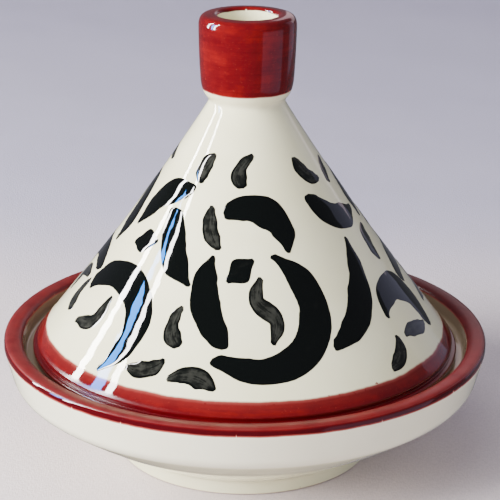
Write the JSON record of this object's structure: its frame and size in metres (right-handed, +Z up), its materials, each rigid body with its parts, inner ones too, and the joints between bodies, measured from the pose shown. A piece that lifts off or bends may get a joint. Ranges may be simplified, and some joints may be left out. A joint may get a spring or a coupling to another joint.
{
  "type": "ceramic tagine pot",
  "caption": "Round footed serving dish with a tall conical lid and a hollow cylindrical knob, in glossy hand-painted earthenware.",
  "frame": {"origin": "centre of the foot ring's underside, on the axis that the dish and the lid are turned about", "axes": "+Z up along the turning axis; -Y faces the side that carries the main painted motif; +X to the right of it"},
  "size_m": [0.25, 0.25, 0.2295],
  "materials": {
    "cream_glaze": "glossy ivory glaze over earthenware",
    "red_glaze": "glossy red underglaze paint brushed round the rim, the lid's edge and the knob",
    "black_glaze": "glossy black brush strokes on the cone, olive grey where they are thin"
  },
  "bodies": {
    "root": {"dish": "cream_glaze", "lid": "cream_glaze"}
  },
  "joints": []
}
